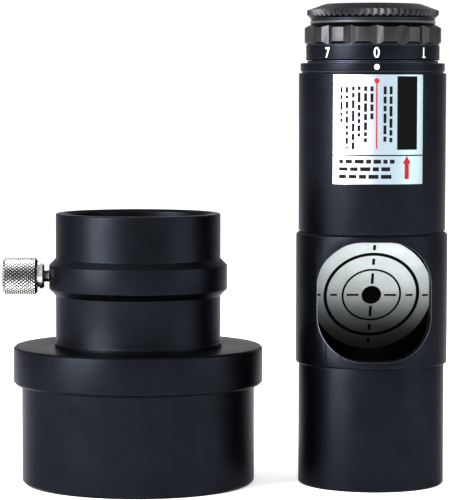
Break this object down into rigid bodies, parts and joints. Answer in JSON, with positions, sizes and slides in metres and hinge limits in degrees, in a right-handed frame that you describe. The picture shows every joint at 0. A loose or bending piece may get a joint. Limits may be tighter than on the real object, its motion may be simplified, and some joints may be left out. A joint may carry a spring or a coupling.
{
  "type": "laser collimator",
  "caption": "Barrel-shaped laser collimator with a leaning target in a side window, a numbered brightness dial and a screw cap, and a step-up barrel adapter with a thumbscrew.",
  "frame": {"origin": "on the collimator's axis, in the plane of the open end of its 1.25 inch barrel, which is also the surface that it and the adapter stand on", "axes": "+Z along the collimator's axis, from the barrel's open end towards the battery cap; -Y out of the viewing window, through the label and the index dot; -X towards the adapter, whose thumbscrew also points along -X"},
  "size_m": [0.0969, 0.0544, 0.1044],
  "materials": {
    "black_anodised_aluminium": "fine satin black anodising over turned aluminium",
    "target_aluminium": "radially brushed bare aluminium",
    "target_ink": "black screen print",
    "label_foil": "silver printed foil",
    "white_fill": "white paint fill",
    "brass": "turned brass",
    "spring_steel": "bright spring wire",
    "bright_steel": "bright nickel plate, diamond knurl",
    "black_steel": "black oxide",
    "cell_steel": "stamped stainless can",
    "black_rubber": "moulded nitrile",
    "black_plastic": "moulded",
    "circuit_board": "green solder mask",
    "contact_bronze": "phosphor bronze strip",
    "wire_insulation": "extruded insulation",
    "lens_glass": "polished, coated"
  },
  "bodies": {
    "collimator": {"lower_body": "black_anodised_aluminium", "target_plug": "target_aluminium", "target_print": "target_ink", "upper_housing": "black_anodised_aluminium", "label": "label_foil", "index_ring": "black_anodised_aluminium", "index_dot": "white_fill", "detent_ball": "bright_steel", "detent_spring": "spring_steel", "dial_retainer": "brass", "switch_board": "circuit_board", "laser_housing": "brass", "lens_retainer": "brass", "collimating_lens": "lens_glass", "lens_spring": "spring_steel", "laser_diode": "bright_steel", "driver_board": "circuit_board", "module_o_ring": "black_rubber", "alignment_screws": "black_steel", "lead_wires": "wire_insulation"},
    "dial": {"dial": "black_anodised_aluminium", "dial_numerals": "white_fill", "cell_holder": "black_plastic", "cell_contact": "contact_bronze", "wiper_contact": "contact_bronze", "coin_cell": "cell_steel"},
    "cap_seal": {"cap_o_ring": "black_rubber"},
    "battery_cap": {"battery_cap": "black_anodised_aluminium", "cap_spring": "spring_steel"},
    "adapter": {"adapter_barrel": "black_anodised_aluminium", "adapter_socket": "black_anodised_aluminium"},
    "clamp": {"compression_ring": "brass"},
    "thumbscrew": {"thumbscrew": "bright_steel"}
  },
  "joints": [
    {"name": "dial_turn", "type": "hinge", "parent": "collimator", "child": "dial", "pos_m": [0, 0, 0.094], "axis": [0, 0, -1], "range_deg": [0, 315]},
    {"name": "cap_travel", "type": "slide", "parent": "dial", "child": "cap_seal", "axis": [0, 0, 1], "range_m": [0, 0.00251]},
    {"name": "cap_turn", "type": "hinge", "parent": "cap_seal", "child": "battery_cap", "pos_m": [0, 0, 0.1], "axis": [0, 0, 1], "range_deg": [0, 900]},
    {"name": "adapter_lift", "type": "slide", "parent": "collimator", "child": "adapter", "axis": [0, 0, 1], "range_m": [0, 0.12]},
    {"name": "clamp_press", "type": "slide", "parent": "adapter", "child": "clamp", "axis": [1, 0, 0], "range_m": [0, 0.0005]},
    {"name": "thumbscrew_turn", "type": "hinge", "parent": "clamp", "child": "thumbscrew", "pos_m": [-0.07095, 0, 0.0451], "axis": [1, 0, 0], "range_deg": [0, 360]}
  ],
  "couplings": [
    {"joint": "cap_travel", "follows": "cap_turn", "m_per_rad": 0.00015915},
    {"joint": "thumbscrew_turn", "follows": "clamp_press", "rad_per_m": 12566}
  ]
}
